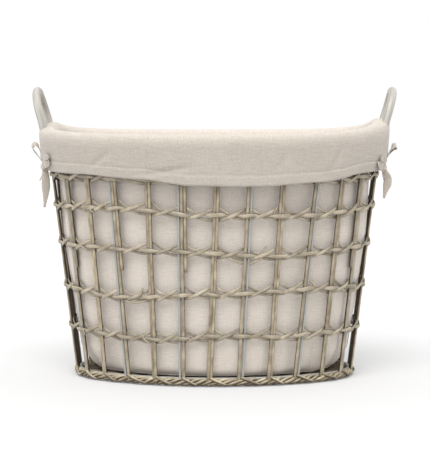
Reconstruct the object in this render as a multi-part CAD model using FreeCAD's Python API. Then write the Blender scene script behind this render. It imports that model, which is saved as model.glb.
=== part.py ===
import FreeCAD, Part
import math
import os
from FreeCAD import Vector

# An oval laundry basket: willow rods and canes woven on a steel wire frame, two bent cane handles,
# and a linen liner whose cuff folds down over the rim and is tied in a bow under each handle.
# Millimetres. Origin at the centre of the foot, +X towards one handle, +Z up, -Y the front.

# Wall of stakes, seen from above as an oval of four tangent arcs that leans outwards all round
foot_half_length = 232.6
foot_half_depth = 155.4
foot_end_radius = 115.0
wall_slope = 0.1215
stake_count = 26
rod_radius = 2.5
rod_pitch = 5.2
wire_radius = 2.0
wire_inset = 0.8
ring_inset = 4.6

# Each stake's place along the wall, at the foot and under the rim, off an even division
stake_shifts = [
    (-2.5, 13.0),
    (0.0, 6.5),
    (1.5, 5.5),
    (1.0, 7.5),
    (3.0, 2.0),
    (2.0, -8.0),
    (1.0, 0.0),
    (0.0, -2.0),
    (-2.0, -8.0),
    (0.0, -3.0),
    (2.0, 4.0),
    (-1.0, 7.0),
    (1.0, 5.0),
    (-1.0, 8.0),
    (2.0, 9.0),
    (0.0, 6.0),
    (-2.0, 10.0),
    (3.0, 4.0),
    (7.0, -3.0),
    (5.0, 1.0),
    (3.0, 0.0),
    (2.5, 15.0),
    (0.0, 12.0),
    (-1.5, 4.0),
    (1.0, 12.5),
    (0.0, 12.0),
]

# Beside each wire stands one rod, and where a bye-stake is pushed in there are two
rod_side_foot = -2.7
wire_side_foot = 3.9
bye_stake_foot = 190.0
bye_stake_side = 6.65
bye_stakes = [5, 9, 13, 17, 21, 23, 25]

# Heights
foot_border_height = 10.5
rim_border_bottom = 394.0
rim_border_top = 408.5
rim_top = 412.7
foot_ring_height = 13.2
rim_ring_height = 390.0

# Weave: each cane runs behind, in front, behind and behind four stakes in turn
weave_heights = [79.5, 151.5, 221.7, 287.4, 340.0]
cane_radius = 2.1
cane_reach = 5.7
cane_rise = 7.8
cane_over = 3.5
cane_under = 3.4
cane_lean = 0.6

# Borders, measured out from the oval of the stakes
border_inner = -10.0
border_outer = 3.0
border_chamfer = 2.0
end_pieces = 4
side_pieces = 9

# Base
rib_radius = 3.0
rib_height = 5.2
rib_spacing = 33.0
ribs_each_side = 6
base_rod_radius = 2.5
base_rod_spacing = 24.0
base_rods_each_side = 5
base_gap = 0.2
rod_end_gap = 1.2
border_bite = 3.0

# Handles
handle_radius = 6.9
handle_clearance = 0.4
handle_half_width = 45.0
handle_foot = 364.0
handle_points = [
    (275.5, handle_half_width, handle_foot),
    (285.6, handle_half_width, 424.0),
    (294.3, 44.0, 453.0),
    (299.3, 30.0, 473.5),
    (300.6, 10.5, 482.3),
]
binding_start = 3.0
binding_length = 20.0
binding_wall = 1.6
peg_radius = 1.1
peg_length = 15.0
peg_head_depth = 1.5

# Liner
cloth = 3.0
fold_thickness = 3.7
bag_foot_height = 15.5
bag_foot_half_length = 208.0
bag_foot_half_depth = 148.0
bag_foot_end_radius = 112.0
bag_rim_inset = 13.0
fold_seam = 4.0
cuff_inner = 12.0
cuff_flap_inner = 15.5
cuff_hem_height = 332.0
flap_hem_height = 346.0
flap_half_width = 70.0
slit_half_width = 5.0

# Ties: routes of the left pair, from the hem through the knot, round a loop and down to a free end
tie_radius = 2.2
knot_radius = 6.5
knot_centre = (-290.0, -31.0, 355.5)
front_tie_route = [
    (-293.5, -52.0, 352.5),
    (-292.5, -41.0, 354.5),
    (-290.5, -31.0, 356.5),
    (-294.5, -27.0, 371.0),
    (-300.0, -25.0, 387.5),
    (-307.5, -24.0, 390.0),
    (-309.0, -25.0, 380.5),
    (-301.0, -27.0, 367.0),
    (-292.0, -30.0, 356.0),
    (-291.5, -32.0, 341.0),
    (-290.5, -33.0, 321.0),
    (-289.5, -33.0, 301.0),
    (-290.0, -33.0, 286.0),
]
back_tie_route = [
    (-296.0, -7.0, 352.5),
    (-293.5, -19.0, 354.5),
    (-291.5, -31.0, 354.5),
    (-295.0, -46.0, 362.5),
    (-290.5, -64.0, 371.0),
    (-287.0, -73.0, 365.5),
    (-289.5, -64.0, 358.0),
    (-294.5, -47.0, 353.5),
    (-291.5, -32.0, 353.0),
    (-294.5, -25.0, 342.5),
    (-299.5, -19.0, 332.0),
]


class Oval:
    """Four tangent arcs, with a place on it given as a share of the way round from the front."""

    def __init__(self, half_length, half_depth, end_radius):
        self.end = end_radius
        self.end_centre = half_length - end_radius
        self.side = (half_depth**2 + self.end_centre**2 - end_radius**2) / (2 * (half_depth - end_radius))
        self.side_centre = self.side - half_depth
        self.turn = math.atan2(self.side_centre, self.end_centre)
        self.half_side = self.side * (math.pi / 2 - self.turn)
        self.length = 4 * (self.half_side + self.end * self.turn)

    def grown(self, offset):
        """The oval a constant distance outside this one."""
        half_length = self.end_centre + self.end + offset
        half_depth = self.side - self.side_centre + offset
        return Oval(half_length, half_depth, self.end + offset)

    def at(self, share, out, height):
        """The point at a share of the way round, a distance out along the normal."""
        share = share % 1.0
        mirror = 1 if share <= 0.5 else -1
        along = min(share, 1 - share) * self.length
        behind = along > self.length / 4
        if behind:
            along = self.length / 2 - along
        if along < self.half_side:
            angle = along / self.side - math.pi / 2
            centre_x, centre_y, radius = 0.0, self.side_centre, self.side
        else:
            angle = (along - self.half_side) / self.end - self.turn
            centre_x, centre_y, radius = self.end_centre, 0.0, self.end
        x = centre_x + (radius + out) * math.cos(angle)
        y = centre_y + (radius + out) * math.sin(angle)
        return Vector(mirror * x, -y if behind else y, height)

    def arcs(self):
        """Centre, radius, first angle and last angle of each arc, anticlockwise from the right."""
        turn = self.turn
        return [
            (Vector(self.end_centre, 0, 0), self.end, -turn, turn),
            (Vector(0, -self.side_centre, 0), self.side, turn, math.pi - turn),
            (Vector(-self.end_centre, 0, 0), self.end, math.pi - turn, math.pi + turn),
            (Vector(0, self.side_centre, 0), self.side, math.pi + turn, 2 * math.pi - turn),
        ]

    def wire(self, height):
        """The closed outline at a height."""
        edges = []
        for centre, radius, first, last in self.arcs():
            ends = [polar(centre, radius, angle, height) for angle in (first, (first + last) / 2, last)]
            edges.append(Part.Arc(*ends).toShape())
        return Part.Wire(edges)


def polar(centre, radius, angle, height):
    return centre + Vector(radius * math.cos(angle), radius * math.sin(angle), height)


def wall_oval(height):
    return Oval(foot_half_length, foot_half_depth, foot_end_radius).grown(wall_slope * height)


def stake_shift(station, end):
    """The stakes' shift along the wall at the foot (end 0) or under the rim (end 1)."""
    before = math.floor(station)
    first = stake_shifts[before % stake_count][end]
    second = stake_shifts[(before + 1) % stake_count][end]
    return first + (second - first) * (station - before)


def wall_point(station, side, out, height):
    """A point on the wall: station counts stakes, side is mm along it and out is mm outwards."""
    rise = (height - foot_border_height) / (rim_border_bottom - foot_border_height)
    points = []
    for end, level in enumerate((foot_border_height, rim_border_bottom)):
        oval = wall_oval(level)
        share = station / stake_count + (side + stake_shift(station, end)) / oval.length
        points.append(oval.at(share, out, level))
    return points[0] + (points[1] - points[0]) * rise


def rounded_path(points, least_share=0.45):
    """Straight runs joined by tangent arcs, and the smallest arc radius."""
    edges = []
    radii = []
    start = points[0]
    for before, corner, after in zip(points, points[1:], points[2:]):
        back = (before - corner).normalize()
        ahead = (after - corner).normalize()
        turn = math.pi - back.getAngle(ahead)
        shorter = min((before - corner).Length, (after - corner).Length)
        reach = least_share * shorter
        radius = reach / math.tan(turn / 2)
        bisector = (back + ahead).normalize()
        centre = corner + bisector * math.hypot(reach, radius)
        first = corner + back * reach
        last = corner + ahead * reach
        edges.append(Part.LineSegment(start, first).toShape())
        edges.append(Part.Arc(first, centre - bisector * radius, last).toShape())
        radii.append(radius)
        start = last
    edges.append(Part.LineSegment(start, points[-1]).toShape())
    return Part.Wire(edges), min(radii)


def tube(points, radius):
    """A round rod along a rounded path."""
    path, smallest = rounded_path(points)
    section = Part.Wire(Part.Circle(points[0], points[1] - points[0], radius).toShape())
    solid = path.makePipe(Part.Face(section))
    expected = math.pi * radius**2 * path.Length
    if abs(solid.Volume - expected) > 0.01 * expected:
        print("volume differs", solid.Volume, expected)
    return solid, path.Length, smallest


def straight_rod(start, end, radius):
    return Part.makeCylinder(radius, (end - start).Length, start, end - start)


def level_rod(lower, upper, radius):
    """A straight rod between two heights, its ends cut level."""
    along = (upper - lower).normalize() * 3 * radius
    rod = straight_rod(lower - along, upper + along, radius)
    reach = 2 * (foot_half_length + foot_half_depth)
    slab = Part.makeBox(reach, reach, upper.z - lower.z, Vector(-reach / 2, -reach / 2, lower.z))
    return rod.common(slab).Solids[0]


def wall_rod(number, foot_side, top_side, out, bottom, radius):
    """A straight rod on the wall up to the rim border, its sides measured towards the handle."""
    outward = -1 if number > stake_count / 2 else 1
    foot = wall_point(number, outward * foot_side, out, bottom)
    top = wall_point(number, outward * top_side, out, rim_border_bottom)
    return level_rod(foot, top, radius)


def stake(number):
    """One group of willow rods: a pair, or one beside a wire with or without a bye-stake."""
    half = rod_pitch / 2
    if number % 2 == 0:
        return [wall_rod(number, side, side, 0, foot_border_height, rod_radius) for side in (-half, half)]
    rods = [wall_rod(number, rod_side_foot, 0, 0, foot_border_height, rod_radius)]
    if number in bye_stakes:
        rods.append(wall_rod(number, -bye_stake_side, -rod_pitch, 0, bye_stake_foot, rod_radius))
    return rods


def wire_uprights():
    """A wire beside every second stake, towards the handle."""
    return [
        wall_rod(number, wire_side_foot, rod_pitch, -wire_inset, foot_border_height, wire_radius)
        for number in range(1, stake_count, 2)
    ]


def wire_ring(height):
    path = wall_oval(height).grown(-ring_inset).wire(height)
    start = path.Edges[0].valueAt(path.Edges[0].FirstParameter)
    tangent = path.Edges[0].tangentAt(path.Edges[0].FirstParameter)
    section = Part.Wire(Part.Circle(start, tangent, wire_radius).toShape())
    return path.makePipe(Part.Face(section))


def weave_cane(number, height):
    """A cane that passes in front of one stake and behind the one before and the two after."""
    low = -0.9 * cane_rise
    steps = [
        (-0.99, -cane_reach, cane_rise),
        (-0.78, -cane_reach, cane_rise),
        (-0.33, -cane_under, cane_lean),
        (-0.18, cane_reach, 0.0),
        (0.18, cane_reach, 0.0),
        (0.33, -cane_under, -cane_lean),
        (0.78, -cane_reach, -cane_rise),
        (1.20, -cane_reach, -cane_rise),
        (1.34, cane_over, low),
        (1.66, cane_over, -low),
        (1.80, -cane_reach, cane_rise),
        (1.99, -cane_reach, cane_rise),
    ]
    points = [wall_point(number + step, 0, out, height + rise) for step, out, rise in steps]
    return tube(points, cane_radius)[0]


def border_section(inner, outer, bottom, top):
    """A chamfered section in the XZ plane, x measured from the arc's axis."""
    corner = border_chamfer
    outline = [
        (inner + corner, bottom),
        (outer - corner, bottom),
        (outer, bottom + corner),
        (outer, top - corner),
        (outer - corner, top),
        (inner + corner, top),
        (inner, top - corner),
        (inner, bottom + corner),
    ]
    points = [Vector(x, 0, z) for x, z in outline]
    return Part.Face(Part.makePolygon(points + points[:1]))


def border(height, bottom, top):
    """A ring of butting pieces of level section."""
    pieces = []
    oval = wall_oval(height)
    for index, (centre, radius, first, last) in enumerate(oval.arcs()):
        count = side_pieces if index % 2 else end_pieces
        step = (last - first) / count
        section = border_section(radius + border_inner, radius + border_outer, bottom, top)
        for number in range(count):
            piece = section.copy()
            piece.translate(centre)
            piece.rotate(centre, Vector(0, 0, 1), math.degrees(first + number * step))
            pieces.append(piece.revolve(centre, Vector(0, 0, 1), math.degrees(step)))
    return pieces


def reach_along_x(oval, y):
    """Half the oval's width at a distance y from its long axis."""
    if abs(y) < oval.end * math.sin(oval.turn):
        return oval.end_centre + math.sqrt(oval.end**2 - y**2)
    return math.sqrt(oval.side**2 - (abs(y) + oval.side_centre) ** 2)


def reach_along_y(oval, x):
    """Half the oval's depth at a distance x from its short axis."""
    if abs(x) < oval.side * math.cos(oval.turn):
        return math.sqrt(oval.side**2 - x**2) - oval.side_centre
    return math.sqrt(oval.end**2 - (abs(x) - oval.end_centre) ** 2)


def base_ribs():
    oval = wall_oval(rib_height).grown(border_inner + border_bite)
    ribs = []
    for index in range(-ribs_each_side, ribs_each_side + 1):
        x = index * rib_spacing
        reach = reach_along_y(oval, x)
        ribs.append(straight_rod(Vector(x, -reach, rib_height), Vector(x, reach, rib_height), rib_radius))
    return ribs


def base_rods():
    height = rib_height + rib_radius + base_rod_radius + base_gap
    oval = wall_oval(rib_height).grown(border_inner - rod_end_gap)
    rods = []
    for index in range(-base_rods_each_side, base_rods_each_side + 1):
        y = index * base_rod_spacing
        reach = reach_along_x(oval, abs(y) + base_rod_radius)
        rods.append(straight_rod(Vector(-reach, y, height), Vector(reach, y, height), base_rod_radius))
    return rods


def handle_path(side):
    near = [Vector(side * x, -y, z) for x, y, z in handle_points]
    far = [Vector(point.x, -point.y, point.z) for point in reversed(near)]
    return near + far


def handle(side, radius):
    return tube(handle_path(side), radius)[0]


def leg_axis(side, near):
    """Foot and direction of one leg of a handle."""
    x, y, z = handle_points[0]
    foot = Vector(side * x, near * y, z)
    x, y, z = handle_points[1]
    return foot, (Vector(side * x, near * y, z) - foot).normalize()


def handle_binding(side):
    sleeves = []
    for near in (-1, 1):
        foot, along = leg_axis(side, near)
        start = foot + along * binding_start
        outer = Part.makeCylinder(handle_radius + binding_wall, binding_length, start, along)
        inner = Part.makeCylinder(handle_radius, binding_length, start, along)
        sleeves.append(outer.cut(inner))
    return sleeves


def handle_pegs():
    pegs = []
    for side in (-1, 1):
        for near in (-1, 1):
            foot, along = leg_axis(side, near)
            height = (rim_border_bottom + rim_border_top) / 2
            middle = foot + along * ((height - foot.z) / along.z)
            inward = Vector(-side, 0, 0)
            start = middle - inward * (handle_radius - peg_head_depth)
            pegs.append(Part.makeCylinder(peg_radius, peg_length, start, inward))
    return pegs


def cone(lower, lower_height, upper, upper_height):
    """A solid between two ovals at two heights."""
    return Part.makeLoft([lower.wire(lower_height), upper.wire(upper_height)], True, True)


def bag_oval(height, inset):
    """The outline of the bag at a height, a distance inside its outer face."""
    rise = (height - bag_foot_height) / (rim_top - bag_foot_height)
    rim = wall_oval(rim_top).grown(-bag_rim_inset)
    half_length = bag_foot_half_length + (rim.end_centre + rim.end - bag_foot_half_length) * rise
    half_depth = bag_foot_half_depth + (rim.side - rim.side_centre - bag_foot_half_depth) * rise
    end_radius = bag_foot_end_radius + (rim.end - bag_foot_end_radius) * rise
    return Oval(half_length - inset, half_depth - inset, end_radius - inset)


def region(low_x, high_x, low_y, high_y):
    """A tall box that keeps one part of the liner."""
    height = 2 * rim_top
    return Part.makeBox(high_x - low_x, high_y - low_y, height, Vector(low_x, low_y, -height / 4))


def shell(outer_oval, inner_oval, bottom, top):
    """A wall between two heights, from two functions that give an oval at a height."""
    outer = cone(outer_oval(bottom), bottom, outer_oval(top), top)
    inner = cone(inner_oval(bottom - cloth), bottom - cloth, inner_oval(top + cloth), top + cloth)
    return outer.cut(inner)


def fold(inner, outer):
    """The level top of the liner between two distances from the stakes."""
    bottom = rim_top - fold_thickness
    oval = wall_oval(rim_top)
    ring = Part.Face(oval.grown(outer).wire(bottom)).extrude(Vector(0, 0, fold_thickness))
    hole = Part.Face(oval.grown(inner).wire(bottom - 1)).extrude(Vector(0, 0, fold_thickness + 2))
    return ring.cut(hole)


def bag():
    top = rim_top - fold_thickness
    wall = shell(lambda z: bag_oval(z, 0), lambda z: bag_oval(z, cloth), bag_foot_height + cloth, top)
    return wall.fuse(fold(-bag_rim_inset - cloth, fold_seam)).removeSplitter()


def cuff(inner, hem):
    top = rim_top - fold_thickness
    wall = shell(
        lambda z: wall_oval(z).grown(inner + cloth),
        lambda z: wall_oval(z).grown(inner),
        hem,
        top,
    )
    return wall.fuse(fold(fold_seam, inner + cloth)).removeSplitter()


def save(name, solids):
    """Writes one node, of one solid or several."""
    found = []
    for shape in solids:
        if not shape.isValid() or not shape.Solids:
            print("not valid:", name)
        found.extend(shape.Solids)
    shape = found[0] if len(found) == 1 else Part.makeCompound(found)
    shape.exportStep("parts/" + name + ".step")


def mirrored(route, side):
    return [Vector(-side * x, y, z) for x, y, z in route]


def make_basket():
    for number in range(stake_count):
        save("stake_%02d" % (number + 1), stake(number))
    save("wire_uprights", wire_uprights())
    save("wire_foot_ring", [wire_ring(foot_ring_height)])
    save("wire_rim_ring", [wire_ring(rim_ring_height)])
    for row, height in enumerate(weave_heights):
        save("weave_row_%d" % (row + 1), [weave_cane(number, height) for number in range(stake_count)])
    save("foot_border", border(0, 0, foot_border_height))
    save("base_ribs", base_ribs())
    save("base_rods", base_rods())


def make_handles(clearances):
    rim_pieces = border(rim_border_bottom, rim_border_bottom, rim_border_top)
    for clearance in clearances:
        rim_pieces = [piece.cut(clearance) if piece.distToShape(clearance)[0] == 0 else piece
                      for piece in rim_pieces]
    save("rim_border", rim_pieces)
    for name, side in (("left", -1), ("right", 1)):
        save("handle_" + name, [handle(side, handle_radius)])
        save("handle_binding_" + name, handle_binding(side))
    save("handle_pegs", handle_pegs())


def make_liner(clearances):
    far = 2 * foot_half_length
    whole_bag = bag()
    whole_cuff = cuff(cuff_inner, cuff_hem_height)
    whole_flaps = cuff(cuff_flap_inner, flap_hem_height)
    for clearance in clearances:
        whole_bag = whole_bag.cut(clearance)
        whole_flaps = whole_flaps.cut(clearance)
    save("liner_front_panel", [whole_bag.common(region(-far, far, -far, 0))])
    save("liner_back_panel", [whole_bag.common(region(-far, far, 0, far))])
    foot = bag_oval(bag_foot_height, 0).wire(bag_foot_height)
    save("liner_base_panel", [Part.Face(foot).extrude(Vector(0, 0, cloth))])
    save("cuff_front", [whole_cuff.common(region(-far, far, -far, -flap_half_width))])
    save("cuff_back", [whole_cuff.common(region(-far, far, flap_half_width, far))])
    for name, low_x, high_x in (("left", -far, 0), ("right", 0, far)):
        front = region(low_x, high_x, -flap_half_width, -slit_half_width)
        back = region(low_x, high_x, slit_half_width, flap_half_width)
        save("cuff_flap_%s_front" % name, [whole_flaps.common(front)])
        save("cuff_flap_%s_back" % name, [whole_flaps.common(back)])


def make_ties():
    for name, side in (("left", -1), ("right", 1)):
        for which, route in (("front", front_tie_route), ("back", back_tie_route)):
            tie, length, smallest = tube(mirrored(route, side), tie_radius)
            save("tie_%s_%s" % (name, which), [tie])
            print("tie", name, which, "length", round(length, 1), "smallest radius", round(smallest, 1))
        centre = mirrored([knot_centre], side)[0]
        save("tie_knot_" + name, [Part.makeSphere(knot_radius, centre)])


os.makedirs("parts", exist_ok=True)
leg_clearances = [handle(side, handle_radius + handle_clearance) for side in (-1, 1)]
make_basket()
make_handles(leg_clearances)
make_liner(leg_clearances)
make_ties()
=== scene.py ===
import math
import random

import bmesh
import bpy
from mathutils import Matrix, Vector, noise


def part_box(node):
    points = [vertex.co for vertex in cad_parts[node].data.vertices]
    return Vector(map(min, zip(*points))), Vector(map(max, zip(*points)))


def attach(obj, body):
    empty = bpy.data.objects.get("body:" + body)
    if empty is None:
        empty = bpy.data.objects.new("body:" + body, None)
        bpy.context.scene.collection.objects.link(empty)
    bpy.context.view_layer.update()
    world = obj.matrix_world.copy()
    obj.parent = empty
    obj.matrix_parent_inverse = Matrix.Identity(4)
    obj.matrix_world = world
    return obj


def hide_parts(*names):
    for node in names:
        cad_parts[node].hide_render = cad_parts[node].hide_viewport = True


# An oval laundry basket: willow rods and split cane woven on a painted steel wire frame, two bent
# cane handles, and a linen liner that folds over the rim and is tied in a bow under each handle.
# Metres, in the frame's own axes: +X towards a handle, -Y the front, +Z up.

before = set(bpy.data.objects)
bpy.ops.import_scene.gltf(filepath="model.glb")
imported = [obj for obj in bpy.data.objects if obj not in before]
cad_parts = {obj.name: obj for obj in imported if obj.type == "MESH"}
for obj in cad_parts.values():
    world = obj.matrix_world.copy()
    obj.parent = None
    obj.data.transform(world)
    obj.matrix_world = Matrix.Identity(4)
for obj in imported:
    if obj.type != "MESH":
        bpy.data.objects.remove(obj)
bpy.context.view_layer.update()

# The noise vectors that bend the rods start from the clock unless they are given a seed
noise.seed_set(1)

MM = 0.001

# The wall of stakes: an oval of four tangent arcs that leans outwards all round
FOOT_HALF_LENGTH = 232.6 * MM
FOOT_HALF_DEPTH = 155.4 * MM
FOOT_END_RADIUS = 115.0 * MM
WALL_SLOPE = 0.1215
STAKE_COUNT = len([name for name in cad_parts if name.startswith("stake_")])
FOOT_BORDER_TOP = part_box("foot_border")[1].z
RIM_BORDER_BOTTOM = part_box("rim_border")[0].z
RIM_BORDER_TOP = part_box("rim_border")[1].z
RIM_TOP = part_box("cuff_front")[1].z
ROD_RADIUS = 2.7 * MM
ROD_HALF_PITCH = 2.9 * MM
BYE_STAKE_FOOT = 190.0 * MM
BYE_STAKES = (5, 9, 13, 17, 21, 23, 25)

# Each stake's place along the wall, at the foot and under the rim, off an even division, in mm
STAKE_SHIFTS = (
    (-2.5, 13.0), (0.0, 6.5), (1.5, 5.5), (1.0, 7.5), (3.0, 2.0), (2.0, -8.0), (1.0, 0.0),
    (0.0, -2.0), (-2.0, -8.0), (0.0, -3.0), (2.0, 4.0), (-1.0, 7.0), (1.0, 5.0), (-1.0, 8.0),
    (2.0, 9.0), (0.0, 6.0), (-2.0, 10.0), (3.0, 4.0), (7.0, -3.0), (5.0, 1.0), (3.0, 0.0),
    (2.5, 15.0), (0.0, 12.0), (-1.5, 4.0), (1.0, 12.5), (0.0, 12.0),
)

# The weave: one split cane passes in front of one stake and behind the next two
ROW_COUNT = len([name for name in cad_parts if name.startswith("weave_row_")])
# Where each row bends up or down over the front: stakes from the front's middle, and up in mm
ROW_BENDS = (
    ((-6, 7), (-2, -1), (1, 6), (3, 4), (6, 7)),
    ((-6, 4), (-3, -6), (0, 2), (3, 9), (6, 5)),
    ((-6, 7), (-2, 3), (2, -6), (4, 0), (6, 5)),
    ((-6, 3), (-3, 6), (0, -5), (3, -5), (6, 4)),
    ((-6, 2), (-3, 1), (0, 0), (4, 0), (6, 2)),
)
# Loose ends of cane: row, then the stake counted from the front's middle, out and up from the
# row in mm at three places on each
LOOSE_ENDS = (
    (1, (-2.40, 1.5, -1.0), (-2.30, 4.0, 7.0), (-2.22, 5.0, 16.0)),
    (2, (1.42, 1.5, -1.0), (1.50, 4.0, 8.0), (1.58, 5.0, 17.0)),
    (2, (0.30, 0.5, -1.0), (0.62, 4.5, -8.5), (0.90, 1.5, -14.0)),
    (2, (1.10, 1.0, -13.5), (1.28, 4.5, -9.0), (1.52, 1.0, -2.0)),
    (1, (-2.98, -1.0, -5.0), (-2.52, 4.5, -8.5), (-2.12, -1.0, -4.5)),
    (0, (-2.34, 2.0, 3.0), (-2.22, 5.0, -3.0), (-2.08, 3.5, -8.5)),
    (3, (1.76, 2.0, 2.0), (1.80, 4.5, 8.0), (1.84, 5.0, 14.0)),
    (3, (-4.10, 2.0, 1.0), (-3.90, 5.0, -4.0), (-3.75, 4.5, -10.0)),
    (2, (-4.60, 2.0, 2.0), (-4.40, 5.0, -1.0), (-4.18, 4.5, -7.0)),
    (0, (-4.95, 2.0, 5.0), (-4.80, 4.8, -2.0), (-4.72, 4.5, -9.0)),
    (2, (7.30, 2.0, 0.0), (7.45, 5.0, 6.0), (7.55, 5.0, 14.0)),
    (3, (11.30, 2.0, 0.0), (11.42, 4.5, -7.0), (11.55, 4.5, -14.0)),
    (1, (14.60, 2.0, 1.0), (14.70, 4.8, 8.0), (14.76, 5.0, 15.0)),
    (2, (17.35, 2.0, 0.0), (17.50, 4.8, -6.0), (17.66, 4.0, -11.0)),
)

# The liner
BAG_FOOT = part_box("liner_base_panel")[0].z
BAG_FOOT_HALF_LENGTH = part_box("liner_base_panel")[1].x
BAG_FOOT_HALF_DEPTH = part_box("liner_base_panel")[1].y
BAG_FOOT_END_RADIUS = 112.0 * MM
BAG_RIM_INSET = 13.0 * MM
HEM_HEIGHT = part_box("cuff_front")[0].z
HEM_WIDTH = 16.0 * MM
CLOTH = 1.3 * MM

# The ties: routes from the hem through the knot, round a loop and down to a free end, in mm. The
# broad tie starts on the front flap, the narrow one on the back flap.
TIE_WIDTH = 11.0 * MM
TIE_THICKNESS = 1.4 * MM
KNOT_PLACES = {"left": (-284.0, -47.0, 355.5), "right": (283.5, -47.0, 355.0)}
TIE_ROUTES = {
    ("left", "front"): [
        (-273.5, -57.0, 353.0), (-282.5, -46.0, 356.0), (-290.0, -41.0, 366.0),
        (-299.0, -38.0, 377.0), (-306.0, -36.0, 386.0), (-303.0, -37.0, 393.5),
        (-295.0, -40.5, 389.0), (-288.5, -43.5, 374.0), (-284.0, -46.0, 361.0),
        (-282.5, -47.5, 354.0), (-282.5, -49.0, 342.0), (-281.5, -48.0, 325.0),
        (-282.5, -46.0, 305.0), (-285.0, -44.0, 287.0),
    ],
    ("left", "back"): [
        (-282.0, -21.0, 353.5), (-281.5, -42.0, 356.0), (-283.5, -58.0, 362.5),
        (-281.5, -72.0, 370.0), (-275.0, -86.0, 373.0), (-272.0, -87.0, 364.5),
        (-278.5, -74.0, 361.5), (-283.5, -59.0, 357.0), (-284.0, -46.0, 353.5),
        (-286.0, -40.0, 346.0), (-290.0, -34.0, 338.5), (-294.5, -29.0, 331.5),
    ],
    ("right", "front"): [
        (273.5, -57.0, 353.0), (281.0, -45.0, 355.0), (288.0, -41.0, 367.0),
        (296.0, -37.0, 379.0), (304.5, -33.0, 387.0), (304.0, -35.0, 391.0),
        (295.0, -40.0, 382.0), (287.5, -43.5, 368.0), (283.0, -46.5, 357.0),
        (287.5, -46.0, 347.0), (292.5, -43.0, 338.5), (291.5, -42.5, 327.0),
        (288.0, -42.5, 316.0), (285.5, -43.0, 303.0),
    ],
    ("right", "back"): [
        (282.0, -21.0, 353.5), (281.0, -42.0, 355.5), (282.5, -57.0, 361.0),
        (281.0, -69.0, 366.5), (278.0, -77.0, 368.0), (276.5, -78.5, 361.0),
        (280.5, -68.0, 357.0), (283.0, -57.0, 354.5), (282.5, -47.0, 352.5),
        (283.5, -42.5, 343.0), (286.0, -37.0, 333.0), (288.5, -33.0, 323.0),
    ],
}


# ---------------------------------------------------------------- the camera


def set_camera():
    data = bpy.data.cameras.new("camera")
    data.sensor_width = 36.0
    data.lens = 143.3
    camera = bpy.data.objects.new("camera", data)
    camera.location = (0.106, -3.2, 0.478)
    aim = Vector((0.0011, 0.0, 0.2348)) - camera.location
    camera.rotation_euler = aim.to_track_quat("-Z", "Y").to_euler()
    bpy.context.scene.collection.objects.link(camera)
    bpy.context.scene.camera = camera


# ---------------------------------------------------------------- places on the basket


class Oval:
    """Four tangent arcs, with a place on it given as a share of the way round from the front."""

    def __init__(self, half_length, half_depth, end_radius):
        self.end = end_radius
        self.end_centre = half_length - end_radius
        reach = half_depth**2 + self.end_centre**2 - end_radius**2
        self.side = reach / (2 * (half_depth - end_radius))
        self.side_centre = self.side - half_depth
        self.turn = math.atan2(self.side_centre, self.end_centre)
        self.half_side = self.side * (math.pi / 2 - self.turn)
        self.length = 4 * (self.half_side + self.end * self.turn)

    def grown(self, offset):
        half_length = self.end_centre + self.end + offset
        half_depth = self.side - self.side_centre + offset
        return Oval(half_length, half_depth, self.end + offset)

    def at(self, share, out, height):
        """The point at a share of the way round, a distance out along the normal."""
        share = share % 1.0
        mirror = 1 if share <= 0.5 else -1
        along = min(share, 1 - share) * self.length
        behind = along > self.length / 4
        if behind:
            along = self.length / 2 - along
        if along < self.half_side:
            angle = along / self.side - math.pi / 2
            centre_x, centre_y, radius = 0.0, self.side_centre, self.side
        else:
            angle = (along - self.half_side) / self.end - self.turn
            centre_x, centre_y, radius = self.end_centre, 0.0, self.end
        x = centre_x + (radius + out) * math.cos(angle)
        y = centre_y + (radius + out) * math.sin(angle)
        return Vector((mirror * x, -y if behind else y, height))


WALL_FOOT = Oval(FOOT_HALF_LENGTH, FOOT_HALF_DEPTH, FOOT_END_RADIUS)


def wall_oval(height):
    return WALL_FOOT.grown(WALL_SLOPE * height)


STAKE_FOOT_OVAL = wall_oval(FOOT_BORDER_TOP)
STAKE_TOP_OVAL = wall_oval(RIM_BORDER_BOTTOM)


def stake_shift(station, end):
    """The stakes' shift along the wall at the foot (end 0) or under the rim (end 1)."""
    before = math.floor(station)
    first = STAKE_SHIFTS[before % STAKE_COUNT][end]
    second = STAKE_SHIFTS[(before + 1) % STAKE_COUNT][end]
    return (first + (second - first) * (station - before)) * MM


def wall_point(station, side, out, height):
    """A point on the wall: station counts stakes, side is metres along it and out is outwards."""
    rise = (height - FOOT_BORDER_TOP) / (RIM_BORDER_BOTTOM - FOOT_BORDER_TOP)
    points = []
    for end, (oval, level) in enumerate(((STAKE_FOOT_OVAL, FOOT_BORDER_TOP), (STAKE_TOP_OVAL, RIM_BORDER_BOTTOM))):
        share = station / STAKE_COUNT + (side + stake_shift(station, end)) / oval.length
        points.append(oval.at(share, out, level))
    return points[0] + (points[1] - points[0]) * rise


def wall_outward(station, height):
    """The wall's outward direction."""
    here = wall_point(station, 0, 0, height)
    along = wall_point(station, MM, 0, height) - here
    upward = wall_point(station, 0, 0, height + MM) - here
    return along.cross(upward).normalized()


# ---------------------------------------------------------------- shaping helpers


def smoothed(knots, steps):
    """Rows of numbers on one smooth curve through the given rows."""
    rows = []
    last = len(knots) - 1
    for index in range(last):
        four = [knots[max(index - 1, 0)], knots[index], knots[index + 1], knots[min(index + 2, last)]]
        for step in range(steps):
            t = step / steps
            rows.append([catmull_rom(values, t) for values in zip(*four)])
    rows.append(list(knots[last]))
    return rows


def catmull_rom(values, t):
    before, start, end, after = values
    linear = (end - before) * t
    square = (2 * before - 5 * start + 4 * end - after) * t**2
    cube = (3 * start - before - 3 * end + after) * t**3
    return 0.5 * (2 * start + linear + square + cube)


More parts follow.
